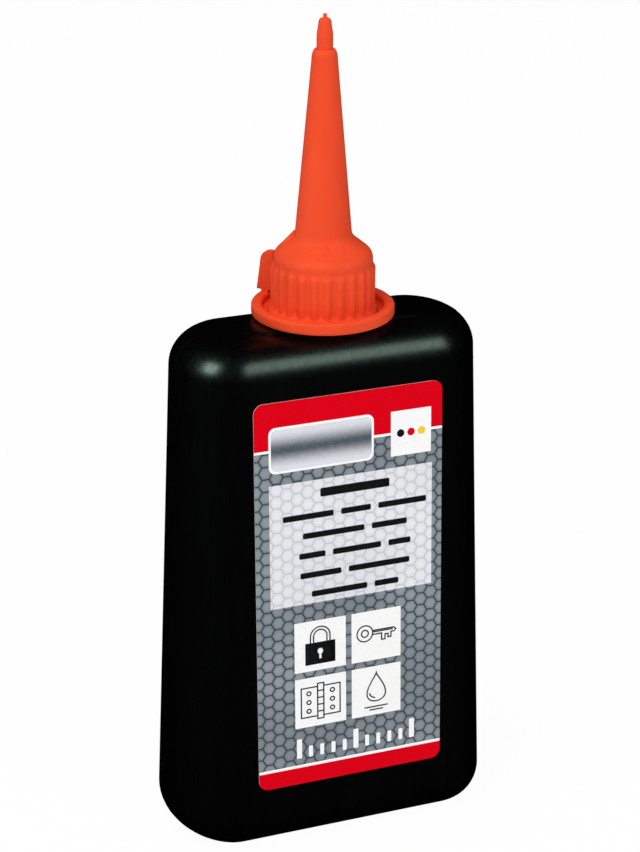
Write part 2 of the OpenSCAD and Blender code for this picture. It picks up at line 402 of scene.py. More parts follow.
@dataclass(frozen=True)
class MouldedPlastic:
    """Moulded plastic with a soft grain, faint flow and handling marks.

    Attributes:
        name: name of the material.
        colour: colour of the plastic.
        shade: colour in the faint darker flow marks.
        roughness: middle of its roughness.
        uneven: how far the roughness strays from that.
        grain: width of the mould's grain.
        grain_depth: depth of that grain.
        wave: width of the slow waves that blowing or shrinking leaves.
        wave_depth: depth of those waves.
        specular: strength of its plain reflection, where a half is usual.
        flow_stretch, scuff_stretch: how often waves and scuffs repeat upward, as a share of across.
        scuff_share: depth of the scuffs, as a share of the grain's.
    """

    name: str
    colour: Colour
    shade: Colour
    roughness: float
    uneven: float
    grain: float
    grain_depth: float
    wave: float
    wave_depth: float
    specular: float = 0.5
    flow_stretch: float = 0.4
    scuff_stretch: float = 0.06
    scuff_share: float = 0.5

    def material(self) -> bpy.types.Material:
        """Build the material."""
        recipe = Recipe(self.name)
        flow = recipe.noise(self.wave, (1, 1, self.flow_stretch), detail=2)
        grain = recipe.noise(self.grain, detail=4)
        scuffs = recipe.noise(self.grain * 2, (1, 1, self.scuff_stretch), detail=2)
        relief = recipe.math("ADD", recipe.math("MULTIPLY", flow, self.wave_depth / self.grain_depth),
                             recipe.math("ADD", grain, recipe.math("MULTIPLY", scuffs, self.scuff_share)))
        recipe.emboss(relief, self.grain_depth)
        rough = recipe.span(scuffs, *NOISE_SPAN, self.roughness - self.uneven, self.roughness + self.uneven)
        tint = recipe.blend(recipe.span(flow, *MIDDLE_SPAN), self.shade, self.colour)
        return recipe.dress(base_color=tint, roughness=rough, specular_ior_level=self.specular)


@dataclass(frozen=True)
class HoneycombPrint:
    """Printed film with a ground of grey hexagons, flat at top and bottom.

    Attributes:
        name: name of the material.
        pitch: height of one hexagon.
        low, high: the two colours that the hexagons drift between.
        line: colour of the lines between them.
        line_share: width of half a line, as a share of the pitch.
        edge: colour of the cut edge of the film.
        roughness: roughness of the varnish.
        drift: width of the drift between the two colours, in hexagons.
        shade_from, shade: where in a hexagon the shade towards its line begins, and how strong it gets.
        grain, grain_depth: width and depth of the film's grain.
        specular: strength of its plain reflection.
        facing: how squarely a face of the film has to look forward to be printed.
    """

    name: str
    pitch: float
    low: Colour
    high: Colour
    line: Colour
    line_share: float
    edge: Colour
    roughness: float
    drift: float = 8
    shade_from: float = 0.2
    shade: float = 0.35
    grain: float = 0.375 * MM
    grain_depth: float = 0.003 * MM
    specular: float = 0.12
    facing: float = 0.9

    def border(self, recipe: Recipe, spot: bpy.types.NodeSocket) -> bpy.types.NodeSocket:
        """How near a spot comes to the border of its hexagon, from 0 in the middle to a half."""
        across, _, up = recipe.parts(spot)
        slanted = recipe.math("ADD", recipe.math("MULTIPLY", recipe.math("ABSOLUTE", across), cos(pi / 6)),
                              recipe.math("MULTIPLY", recipe.math("ABSOLUTE", up), 0.5))
        return recipe.math("MAXIMUM", slanted, recipe.math("ABSOLUTE", up))

    def material(self) -> bpy.types.Material:
        """Build the material from two nested grids of hexagons."""
        recipe = Recipe(self.name)
        cell, half = (sqrt(3), 1.0, 1.0), 0.5
        spot = recipe.vector("MULTIPLY", recipe.place, [1 / self.pitch / side for side in cell])
        borders = []
        for shift in (0.0, half):
            moved = recipe.vector("FRACTION", recipe.vector("ADD", spot, (shift, 0.0, shift)))
            centred = recipe.vector("MULTIPLY", recipe.vector("SUBTRACT", moved, (half, half, half)), cell)
            borders.append(self.border(recipe, centred))
        border = recipe.math("MINIMUM", *borders)
        drift = recipe.span(recipe.noise(self.drift * self.pitch, detail=1), *MIDDLE_SPAN)
        ground = recipe.blend(drift, self.low, self.high)
        shaded = recipe.blend(recipe.span(border, self.shade_from, half, 0.0, self.shade), ground, self.line)
        rim = recipe.span(border, half - self.line_share, half - self.line_share / 3)
        print_colour = recipe.blend(rim, shaded, self.line)
        normal = recipe.add("ShaderNodeNewGeometry").outputs["True Normal"]
        forward = recipe.math("MULTIPLY", recipe.parts(normal)[1], -1.0)
        front = recipe.math("GREATER_THAN", forward, self.facing)
        tint = recipe.blend(front, self.edge, print_colour)
        recipe.emboss(recipe.noise(self.grain), self.grain_depth)
        return recipe.dress(base_color=tint, roughness=self.roughness, specular_ior_level=self.specular)


@dataclass(frozen=True)
class PrintedInk:
    """Solid ink on the film, a little uneven in tone.

    Attributes:
        name: name of the material.
        colour: colour of the ink.
        thin: colour where the ink lies thinner.
        roughness: roughness of the varnish over it.
        specular: strength of its plain reflection.
        mottle: width of the spots where the ink lies thinner.
        grain, grain_depth: width and depth of the varnish's grain.
    """

    name: str
    colour: Colour
    thin: Colour
    roughness: float = 0.5
    specular: float = 0.08
    mottle: float = 0.5 * MM
    grain: float = 0.3 * MM
    grain_depth: float = 0.002 * MM

    def material(self) -> bpy.types.Material:
        """Build the material."""
        recipe = Recipe(self.name)
        thinner = recipe.span(recipe.noise(self.mottle), *HIGH_SPAN)
        recipe.emboss(recipe.noise(self.grain), self.grain_depth)
        tint = recipe.blend(thinner, self.colour, self.thin)
        return recipe.dress(base_color=tint, roughness=self.roughness, specular_ior_level=self.specular)


@dataclass(frozen=True)
class PlaqueInk:
    """Printed plaque, light at both edges and darker along its middle.

    Attributes:
        name: name of the material.
        light, dark: its two greys.
        middle: height of the darkest line.
        reach: distance from there to the light edges.
        mottle, mottle_share: width and strength of its uneven spots.
        roughness: roughness of the varnish over it.
        specular: strength of its plain reflection.
    """

    name: str
    light: Colour
    dark: Colour
    middle: float
    reach: float
    mottle: float = 0.6 * MM
    mottle_share: float = 0.2
    roughness: float = 0.4
    specular: float = 0.12

    def material(self) -> bpy.types.Material:
        """Build the material."""
        recipe = Recipe(self.name)
        height = recipe.parts(recipe.place)[2]
        away = recipe.math("ABSOLUTE", recipe.math("SUBTRACT", height, self.middle))
        tone = recipe.span(away, 0.0, self.reach)
        spots = recipe.math("MULTIPLY", recipe.noise(self.mottle), self.mottle_share)
        uneven = recipe.math("ADD", tone, recipe.math("SUBTRACT", spots, self.mottle_share / 2))
        tint = recipe.blend(uneven, self.dark, self.light)
        return recipe.dress(base_color=tint, roughness=self.roughness, specular_ior_level=self.specular)


@dataclass(frozen=True)
class FoamSheet:
    """Closed-cell foam of the sealing washer.

    Attributes:
        name: name of the material.
        colour, pore_shade_colour: colour of the skin, and the darker colour painted into its pores as painted
            shade.
        pore: width of a pore.
        roughness: roughness of the foam.
        wall_span: where its cells' walls begin and end, in widths of a pore from its middle.
    """

    name: str
    colour: Colour
    pore_shade_colour: Colour
    pore: float
    roughness: float = 0.9
    wall_span: Span = (0.1, 0.6)

    def material(self) -> bpy.types.Material:
        """Build the material."""
        recipe = Recipe(self.name)
        cells = recipe.add("ShaderNodeTexVoronoi")
        recipe.feed(cells.inputs["Vector"], recipe.place)
        recipe.feed(cells.inputs["Scale"], 1 / self.pore)
        depth = recipe.span(cells.outputs["Distance"], *self.wall_span)
        recipe.emboss(depth, self.pore / 4)
        # Painted shade: the hollow of each pore is painted darker than its walls.
        tint = recipe.blend(depth, self.pore_shade_colour, self.colour)
        return recipe.dress(base_color=tint, roughness=self.roughness)


@dataclass(frozen=True)
class LoosePowder:
    """Settled graphite powder with a dull metallic glint, painted shade in its hollows and painted light on
    its flakes.

    Attributes:
        name: name of the material.
        dark, light: colour of the hollows with painted shade, and of the flakes with painted light.
        flake: width of a flake.
        metallic: how metallic it looks.
        roughest, smoothest: roughness of the hollows and of the flakes.
        painted_light_span: span of its noise where the painted shade of the hollows turns into the painted
            light of the flakes.
    """

    name: str
    dark: Colour
    light: Colour
    flake: float
    metallic: float = 0.35
    roughest: float = 0.75
    smoothest: float = 0.5
    painted_light_span: Span = (0.45, 0.7)

    def material(self) -> bpy.types.Material:
        """Build the material."""
        recipe = Recipe(self.name)
        grains = recipe.noise(self.flake, detail=6)
        recipe.emboss(grains, self.flake)
        # Painted light and shade: the raised flakes are painted lighter and the hollows darker.
        tint = recipe.blend(recipe.span(grains, *self.painted_light_span), self.dark, self.light)
        rough = recipe.span(grains, *NOISE_SPAN, self.roughest, self.smoothest)
        return recipe.dress(base_color=tint, metallic=self.metallic, roughness=rough)


BOTTLE_PLASTIC = MouldedPlastic("black_blown_plastic", linear(3, 3, 3), linear(2, 2, 2), 0.3, 0.03,
                                0.35 * MM, 0.002 * MM, 18 * MM, 0.004 * MM, specular=0.4)
CAP_PLASTIC = MouldedPlastic("orange_moulded_plastic", linear(240, 78, 40), linear(235, 74, 37), 0.55, 0.05,
                             0.3 * MM, 0.004 * MM, 6 * MM, 0.01 * MM, specular=0.1)
GROUND = HoneycombPrint("honeycomb_print", 2.25 * MM, linear(130, 139, 145), linear(147, 156, 162),
                        linear(46, 60, 70), 0.075, linear(206, 214, 198), 0.42)
PANEL = HoneycombPrint("pale_panel_print", 2.25 * MM, linear(230, 231, 236), linear(237, 238, 242),
                       linear(200, 203, 209), 0.06, linear(230, 230, 234), 0.42)
RED_INK = PrintedInk("red_ink", linear(223, 0, 22), linear(226, 0, 26), specular=0.02)
WHITE_INK = PrintedInk("white_ink", linear(255, 255, 254), linear(250, 250, 250))
BLACK_INK = PrintedInk("black_ink", linear(16, 16, 18), linear(30, 30, 33))
YELLOW_INK = PrintedInk("yellow_ink", linear(250, 212, 40), linear(248, 206, 60))
# The foam's pores are painted darker as painted shade.
FOAM = FoamSheet("washer_foam_sheet", linear(232, 230, 220), linear(205, 202, 190), 0.25 * MM)
# The powder's hollows are painted darker as painted shade, and its flakes lighter as painted light.
POWDER = LoosePowder("graphite_powder", linear(40, 41, 43), linear(92, 94, 97), 0.12 * MM)


class Workshop:
    """Dresses pieces, rides them on their bodies and keeps each material once."""

    def __init__(self) -> None:
        """Start with no material made."""
        self.made: dict[str, bpy.types.Material] = {}

    def material(self, finish: object) -> bpy.types.Material:
        """The material of a finish, built the first time that it is asked for."""
        if finish.name not in self.made:
            self.made[finish.name] = finish.material()
        return self.made[finish.name]

    def fit(self, made: bpy.types.Object, finish: object, body: Body,
            instead_of: str | None = None) -> bpy.types.Object:
        """Dress a piece and ride it on a body.

        Args:
            made: the finished object, at the origin.
            finish: its finish.
            body: the body that carries it.
            instead_of: a solid that it stands for.

        Returns:
            The same object.
        """
        made.data.materials.clear()
        made.data.materials.append(self.material(finish))
        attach(made, body.value)
        if instead_of:
            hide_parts(instead_of)
        log.info("%s rides %s, %d faces", made.name, body.value, len(made.data.polygons))
        return made

    def dress_solid(self, node: str, finish: object) -> None:
        """Give a solid of the frame its finish in every one of its material slots."""
        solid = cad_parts[node]
        if not solid.material_slots:
            solid.data.materials.append(None)
        for held in solid.material_slots:
            held.material = self.material(finish)
        log.info("solid %s wears %s", node, finish.name)


@dataclass(frozen=True)
class Level:
    """One level of the bottle's body: two half ellipses joined by straight faces.

    Attributes:
        half_w, half_d: half of its width and of its depth.
        end_run: width of each half ellipse.
        height: height above the floor.
    """

    half_w: float
    half_d: float
    end_run: float
    height: float

    def spot(self, column: tuple[float, float, float]) -> Vector:
        """Point of this level in a column: its shares of the straight, the half ellipse and the depth."""
        straight, bulge, depth = column
        across = straight * (self.half_w - self.end_run) + bulge * self.end_run
        return Vector((across, depth * self.half_d, self.height))


@dataclass
class BottleBody:
    """Blown bottle: body with foot and shoulder, collar, screw neck and thread."""

    body_h: float = 95 * MM
    base_w: float = 60.8 * MM
    base_d: float = 29.7 * MM
    top_w: float = 55 * MM
    top_d: float = 22.5 * MM
    side_run: float = 9.8 * MM
    wall: float = 1 * MM
    foot_r: float = 6.3 * MM
    foot_rim: float = 2.5 * MM
    push_up: float = 1 * MM
    push_ease: float = 2.4 * MM
    shoulder_run_x: float = 6.7 * MM
    shoulder_run_y: float = 5.8 * MM
    shoulder_rise: float = 6.3 * MM
    crown: float = 0.7 * MM
    land_half_w: float = 12.95 * MM
    land_depth_share: float = 0.8
    neck_r: float = 6.75 * MM
    bore_r: float = 5.2 * MM
    neck_up: float = 9.1 * MM
    collar_r: float = 8.1 * MM
    collar_up: float = 0.3 * MM
    edge_r: float = 0.14 * MM
    seam_out: float = 0.03 * MM
    seam_half_w: float = 0.16 * MM
    thread_up: float = 2.9 * MM
    thread_turns: float = 1.5
    thread_sink: float = 0.05 * MM
    thread_out: float = 0.7 * MM
    side_steps: int = 48
    face_steps: int = 20
    foot_steps: int = 14
    wall_steps: int = 12
    shoulder_steps: int = 22
    crown_steps: int = 8
    turn_steps: int = 128

    def level(self, in_x: float, in_y: float, height: float) -> Level:
        """Level at a height, with its sides and faces drawn in."""
        share = height / self.body_h
        half_w = (self.base_w + (self.top_w - self.base_w) * share) / 2
        half_d = (self.base_d + (self.top_d - self.base_d) * share) / 2
        return Level(half_w - in_x, half_d - in_y, self.side_run * (half_d - in_y) / half_d, height)

    def closing(self, edge: Level, height: float) -> Level:
        """Level that closes another one along a line in the middle plane."""
        return Level(edge.half_w - edge.half_d, 0.0, 0.0, height)

    def columns(self) -> list[tuple[float, float, float]]:
        """Columns round the body, with two more beside the mould seam on each side."""
        seam = asin(self.seam_half_w / (self.base_d / 2))
        turns = [-QUARTER + pi * k / self.side_steps for k in range(self.side_steps + 1)]
        turns = [a for a in turns if abs(a) > seam / 2] + [-seam, 0.0, seam]
        right = [(1.0, cos(a), sin(a)) for a in sorted(turns)]
        left = [(-1.0, -bulge, -depth) for _, bulge, depth in right]
        shares = [2 * k / self.face_steps - 1 for k in range(1, self.face_steps)]
        back = [(-s, 0.0, 1.0) for s in shares]
        front = [(s, 0.0, -1.0) for s in shares]
        return right + back + left + front

    def foot_levels(self, inset: float) -> list[Level]:
        """Levels from the middle of the foot out and up to its sides."""
        shift = inset * tan(QUARTER / 4)
        inner = self.foot_r + self.foot_rim - shift
        shares = [1 - k / self.foot_steps for k in range(self.foot_steps + 1)]
        hollow = [self.level(inner + self.push_ease * s, inner + self.push_ease * s,
                             inset + self.push_up * ease(s)) for s in shares]
        radius = self.foot_r - inset
        turns = [QUARTER * k / self.foot_steps for k in range(self.foot_steps + 1)]
        curve = [self.level(inset + radius * (1 - sin(a)), inset + radius * (1 - sin(a)),
                            inset + radius * (1 - cos(a))) for a in turns]
        return [self.closing(hollow[0], hollow[0].height)] + hollow + curve

    def top_levels(self, inset: float) -> list[Level]:
        """Levels from the foot's bend up the sides, over the shoulder and in to the land."""
        low = self.body_h - self.crown - self.shoulder_rise
        sides = [self.level(inset, inset, self.foot_r + (low - self.foot_r) * k / self.wall_steps)
                 for k in range(1, self.wall_steps)]
        turns = [QUARTER * k / self.shoulder_steps for k in range(self.shoulder_steps + 1)]
        curve = [self.level(inset + (self.shoulder_run_x - inset) * (1 - cos(a)),
                            inset + (self.shoulder_run_y - inset) * (1 - cos(a)),
                            low + (self.shoulder_rise - inset) * sin(a)) for a in turns]
        edge = curve[-1]
        depth = edge.half_d * self.land_depth_share
        bends = edge.end_run * self.land_depth_share
        shares = [k / self.crown_steps for k in range(1, self.crown_steps + 1)]
        crown = [Level(edge.half_w + (self.land_half_w - inset - edge.half_w) * s,
                       edge.half_d + (depth - edge.half_d) * s, edge.end_run + (bends - edge.end_run) * s,
                       edge.height + self.crown * sin(s * QUARTER)) for s in shares]
        return sides + curve + crown + [self.closing(crown[-1], crown[-1].height)]

    def skin(self, inset: float, seam: float) -> bmesh.types.BMesh:
        """Closed skin of the body: a tube extruded level by level, then shaped.

        Args:
            inset: how far the skin lies inside the outer one.
            seam: how far the mould seam stands out.

        Returns:
            The mesh.
        """
        levels = self.foot_levels(inset) + self.top_levels(inset)
        columns = self.columns()
        bm = bmesh.new()
        bmesh.ops.create_circle(bm, segments=len(columns), radius=1.0)
        edges = bm.edges[:]
        for _ in levels[1:]:
            grown = bmesh.ops.extrude_edge_only(bm, edges=edges)["geom"]
            edges = [item for item in grown if isinstance(item, bmesh.types.BMEdge)
                     and item.verts[0].co.z == item.verts[1].co.z and item.is_boundary]
            bmesh.ops.translate(bm, vec=(0, 0, 1), verts=points_of(grown))
        for vert in bm.verts:
            column = columns[round(atan2(vert.co.y, vert.co.x) / TURN * len(columns)) % len(columns)]
            level = levels[round(vert.co.z)]
            vert.co = level.spot(column)
            if column[2] == 0.0 and level.half_d > 0.0:
                rises = level.height >= self.body_h / 2
                vert.co += Vector((column[0], 0, 1 if rises else 0)) * seam
        bmesh.ops.remove_doubles(bm, verts=bm.verts[:], dist=MERGE)
        face_outward(bm)
        return bm

    def neck(self) -> bmesh.types.BMesh:
        """Solid collar and neck, sunk into the shoulder."""
        land, edge, top = self.body_h, self.edge_r, self.body_h + self.neck_up
        low = land - self.crown - self.shoulder_rise
        outline = [(0.0, low), (self.neck_r, low), (self.collar_r, land - self.crown)]
        outline += arc((self.collar_r - edge, land + self.collar_up - edge), (edge, edge), 0, QUARTER, 6)
        outline += arc((self.neck_r + edge, land + self.collar_up + edge), (edge, edge), -QUARTER, -pi, 6)
        outline += arc((self.neck_r - edge, top - edge), (edge, edge), 0, QUARTER, 6)
        return turned(outline + [(0.0, top)], self.turn_steps, closed=False)

    def bore(self) -> bmesh.types.BMesh:
        """Bore through the neck, with a lead-in at its mouth."""
        top = self.body_h + self.neck_up
        outline = [(0.0, self.body_h - 2 * self.wall), (self.bore_r, self.body_h - 2 * self.wall),
                   (self.bore_r, top - self.edge_r), (self.bore_r + 2 * self.edge_r, top + self.edge_r),
                   (0.0, top + self.edge_r)]
        return turned(outline, self.turn_steps, closed=False)

    def build(self, shop: Workshop) -> None:
        """Build the bottle and its thread."""
        body = piece(self.skin(0.0, self.seam_out), "bottle_shell")
        combine(body, piece(self.neck(), "neck_blank"), "UNION")
        combine(body, piece(self.skin(self.wall, 0.0), "cavity"), "DIFFERENCE")
        combine(body, piece(self.bore(), "bore_cutter"), "DIFFERENCE")
        drop_slivers(body)
        soften(body.data, SHARP)
        shop.fit(body, BOTTLE_PLASTIC, Body.BOTTLE, instead_of="bottle")
        ridge = Thread(self.body_h + self.thread_up, 0.0, self.thread_turns, self.neck_r - self.thread_sink,
                       self.neck_r + self.thread_out)
        shop.fit(piece(ridge.ridge(), "neck_thread"), BOTTLE_PLASTIC, Body.BOTTLE)
        shop.dress_solid("graphite_fill", POWDER)


@dataclass(frozen=True)
class Thread:
    """Right-hand screw ridge.

    Attributes:
        low: height of the middle of the ridge where it starts.
        start: turn at which it starts, from +X.
        turns: how many turns it has.
        root_r: radius of its root, sunk a little into the wall.
        crest_r: radius of its crest.
        pitch: rise in one turn.
        root_half, crest_half: half of its height at the root and at the crest.
        crest_round: rounding of the edges of its crest.
        fade: turn over which each end runs out.
        steps_a_turn: stretches in one turn.
    """

    low: float
    start: float
    turns: float
    root_r: float
    crest_r: float
    pitch: float = 3 * MM
    root_half: float = 0.72 * MM
    crest_half: float = 0.32 * MM
    crest_round: float = 0.15 * MM
    fade: float = 0.09
    steps_a_turn: int = 120

    def ridge(self) -> bmesh.types.BMesh:
        """Screw a trapezium up round Z and run its ends out.

        Returns:
            The closed ridge.
        """
        bm = bmesh.new()
        corners = [(self.root_r, -self.root_half), (self.crest_r, -self.crest_half),
                   (self.crest_r, self.crest_half), (self.root_r, self.root_half)]
        profile = bm.faces.new([bm.verts.new((r, 0, self.low + h)) for r, h in corners])
        steps = round(self.turns * self.steps_a_turn)
        crest = [v for v in profile.verts if abs(v.co.x - self.crest_r) < SAME_PLACE]
        round_corners(bm, crest, self.crest_round, 3)
        rise = self.pitch / self.steps_a_turn
        ends = bm.faces[:]
        bmesh.ops.spin(bm, geom=bm.verts[:] + bm.edges[:] + ends, axis=(0, 0, 1), cent=(0, 0, 0),
                       dvec=(0, 0, rise), angle=self.turns * TURN, steps=steps)
        bmesh.ops.remove_doubles(bm, verts=bm.verts[:], dist=MERGE)
        for vert in bm.verts:
            turn = (atan2(vert.co.y, vert.co.x) / TURN) % 1.0
            lift = (vert.co.z - self.low) / self.pitch
            along = turn + round(lift - turn)
            share = ease(along / self.fade) * ease((self.turns - along) / self.fade)
            radius = hypot(vert.co.x, vert.co.y)
            scale = (self.root_r + (radius - self.root_r) * share) / radius
            vert.co.x *= scale
            vert.co.y *= scale
        turn_mesh(bm, self.start * TURN)
        face_outward(bm)
        return bm


@dataclass
class SpoutCap:
    """Screw cap with ribbed skirt, cone, gussets and hollow spout, its washer and its closed tip."""

    land: float = 95 * MM
    skirt_in_r: float = 7.65 * MM
    skirt_r: float = 8.6 * MM
    flare_r: float = 9.45 * MM
    skirt_up: float = 0.5 * MM
    flare_h: float = 1.4 * MM
    edge_r: float = 0.22 * MM
    closed_turn: float = radians(-2.75)
    rib_count: int = 24
    rib_r: float = 0.8 * MM
    rib_out: float = 0.45 * MM
    rib_fade: float = 1.6 * MM
    rib_blend: float = 0.28 * MM
    ceiling_up: float = 10 * MM
    skirt_rise: float = 0.25 * MM
    cone_round: float = 2.2 * MM
    cone_h: float = 4.25 * MM
    spout_root_r: float = 4.95 * MM
    root_round: float = 1.0 * MM
    spout_end_r: float = 2.25 * MM
    spout_h: float = 30.65 * MM
    spout_wall: float = 1.1 * MM
    nose_h: float = 2 * MM
    nose_r: float = 1.5 * MM
    outlet_r: float = 0.9 * MM
    gusset_count: int = 3
    gusset_h: float = 0.35 * MM
    gusset_ledge: float = 0.35 * MM
    gusset_top_w: float = 2.3 * MM
    gusset_foot_w: float = 3.2 * MM
    gusset_low: float = 1.5 * MM
    gusset_reach: float = 3.05 * MM
    gusset_blend: float = 0.1 * MM
    thread_up: float = 2.4 * MM
    thread_start: float = 1 / 3
    thread_turns: float = 1.15
    thread_sink: float = 0.05 * MM
    thread_in: float = 0.65 * MM
    turn_steps: int = 384

    def outer_outline(self) -> list[Point]:
        """Outside of the cap, from the mouth of the skirt up to the outlet."""
        edge, low, ceiling = self.edge_r, self.skirt_up, self.ceiling_up
        shoulder = low + self.flare_h
        points = [(self.skirt_in_r + edge, low)]
        points += arc((self.flare_r - edge, low + edge), (edge, edge), -QUARTER, 0, 5)
        points += run(points[-1], (self.flare_r, low + self.flare_h / 2), 2)
        points += run(points[-1], (self.skirt_r, shoulder), 6)
        points += run(points[-1], (self.skirt_r, ceiling - self.rib_fade), 8)
        points += run(points[-1], (self.skirt_r, ceiling + self.skirt_rise), 9)
        eye = (self.skirt_r - self.cone_round, points[-1][1])
        root = (self.spout_root_r, ceiling + self.cone_h)
        away, aside = root[1] - eye[1], root[0] - eye[0]
        round_turn = atan2(away, aside) - acos(self.cone_round / hypot(away, aside))
        points += arc(eye, (self.cone_round, self.cone_round), 0.0, round_turn, 14)[1:]
        nose_up = root[1] + self.spout_h
        foot_bend = bend(points[-1], root, (self.spout_end_r, nose_up), self.root_round, 12)
        points += run(points[-1], foot_bend[0], 24) + foot_bend[1:]
        points += run(points[-1], (self.spout_end_r, nose_up), 24)
        nose = (self.spout_end_r - self.nose_r, self.nose_h)
        points += arc((self.nose_r, nose_up), nose, 0.0, QUARTER, 10)[1:]
        return points

    def inner_outline(self) -> list[Point]:
        """Inside of the cap, from the outlet down to the mouth of the skirt."""
        root_up = self.ceiling_up + self.cone_h
        nose_up = root_up + self.spout_h
        points = [(self.outlet_r, nose_up + self.nose_h), (self.outlet_r, nose_up)]
        points += run(points[-1], (self.spout_end_r - self.spout_wall, nose_up - self.nose_h / 2), 2)
        points += run(points[-1], (self.spout_root_r - self.spout_wall, root_up), 6)
        points += run(points[-1], (self.spout_root_r - self.spout_wall / 2, self.ceiling_up), 4)
        points += run(points[-1], (self.skirt_in_r - self.edge_r, self.ceiling_up), 3)
        points += [(self.skirt_in_r, self.ceiling_up - self.edge_r)]
        points += run(points[-1], (self.skirt_in_r, self.skirt_up + self.edge_r), 6)
        return points

    def rib_radius(self, turn: float, up: float, radius: float) -> float:
        """Radius of the skirt at a turn, with the rib that passes there."""
        pitch = TURN / self.rib_count
        offset = radius * sin(turn - pitch * round(turn / pitch))
        fade_low = self.ceiling_up - self.rib_fade
        lost = ease((up - fade_low) / self.rib_fade) * (self.rib_out + self.rib_blend)
        centre = self.skirt_r + self.rib_out - self.rib_r
        bulge = sqrt(max(self.rib_r ** 2 - offset ** 2, 0.0))
        settled = self.rib_blend / 4 * ease(lost / self.rib_out)
        return larger(radius, centre + bulge - lost, self.rib_blend) - settled

    def gusset_radius(self, turn: float, up: float, radius: float) -> float:
        """Radius of the cone or the spout at a turn, with the gusset that passes there."""
        foot = self.ceiling_up + self.gusset_low
        climb = (up - foot) / (self.cone_h - self.gusset_low + self.gusset_h)
        pitch, from_front = TURN / self.gusset_count, turn + QUARTER
        aside = abs(from_front - pitch * round(from_front / pitch))
        spout_taper = (self.spout_end_r - self.spout_root_r) / self.spout_h
        top_r = self.spout_root_r + spout_taper * self.gusset_h + self.gusset_ledge
        foot_r = self.spout_root_r + self.gusset_reach
        face = (foot_r + (top_r - foot_r) * climb) / cos(aside)
        half = (self.gusset_foot_w + (self.gusset_top_w - self.gusset_foot_w) * min(climb, 1.0)) / 2
        flank = half / max(sin(aside), LEAST_SINE)
        return larger(radius, min(face, flank), self.gusset_blend) - self.gusset_blend / 4

    def mesh(self) -> bmesh.types.BMesh:
        """Turn the cap, then raise its ribs and gussets."""
        outline = [(r, self.land + up) for r, up in self.outer_outline() + self.inner_outline()]
        bm = turned(outline, self.turn_steps)
        foot = self.ceiling_up + self.gusset_low
        knee = self.ceiling_up + self.cone_h + self.gusset_h
        rib_low = self.skirt_up + self.edge_r
        for vert in bm.verts:
            up, radius = vert.co.z - self.land, hypot(vert.co.x, vert.co.y)
            turn = atan2(vert.co.y, vert.co.x)
            grown = radius
            if rib_low < up < self.ceiling_up and radius > self.skirt_in_r + self.edge_r:
                grown = self.rib_radius(turn, up, radius)
            elif foot < up < knee and radius > self.spout_root_r - self.spout_wall / 2:
                grown = self.gusset_radius(turn, up, radius)
            vert.co.x *= grown / radius
            vert.co.y *= grown / radius
        turn_mesh(bm, self.closed_turn)
        face_outward(bm)
        return bm

    def tip_mesh(self) -> bmesh.types.BMesh:
        """Closed tip with its blind hole, its rounded top and the nub that moulding leaves."""
        low, high = (corner.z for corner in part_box("spout_tip"))
        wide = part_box("spout_tip")[1].x
        nub_r, nub_h, taper, dome, bore_r = 0.33 * MM, 0.7 * MM, 2 * MM, 0.8 * MM, 0.55 * MM
        narrowing, fillet = 0.3 * MM, 0.12 * MM
        top, neck_r = high - nub_h, wide - narrowing
        straight = top - dome - taper
        outline = [(bore_r, low), (wide, low), (wide, straight)]
        outline += run(outline[-1], (neck_r, top - dome), 4)
        outline += arc((nub_r + fillet, top - dome), (neck_r - nub_r - fillet, dome), 0, QUARTER, 12)[1:]
        outline += arc((nub_r + fillet, top + fillet), (fillet, fillet), -QUARTER, -pi, 4)[1:]
        outline += arc((nub_r - fillet, high - fillet), (fillet, fillet), 0, QUARTER, 4)
        outline += [(0.0, high), (0.0, straight), (bore_r, straight)]
        return turned(outline, 64)

    def build(self, shop: Workshop) -> None:
        """Build the cap, its thread, its tip and the washer inside it."""
        shop.fit(piece(self.mesh(), "spout_cap_shell", sharp=50), CAP_PLASTIC, Body.CAP,
                 instead_of="spout_cap")
        ridge = Thread(self.land + self.thread_up, self.thread_start, self.thread_turns,
                       self.skirt_in_r + self.thread_sink, self.skirt_in_r - self.thread_in)
        shop.fit(piece(ridge.ridge(), "cap_thread"), CAP_PLASTIC, Body.CAP)
        shop.fit(piece(self.tip_mesh(), "closed_tip"), CAP_PLASTIC, Body.TIP,
                 instead_of="spout_tip")
        shop.dress_solid("seal_washer", FOAM)


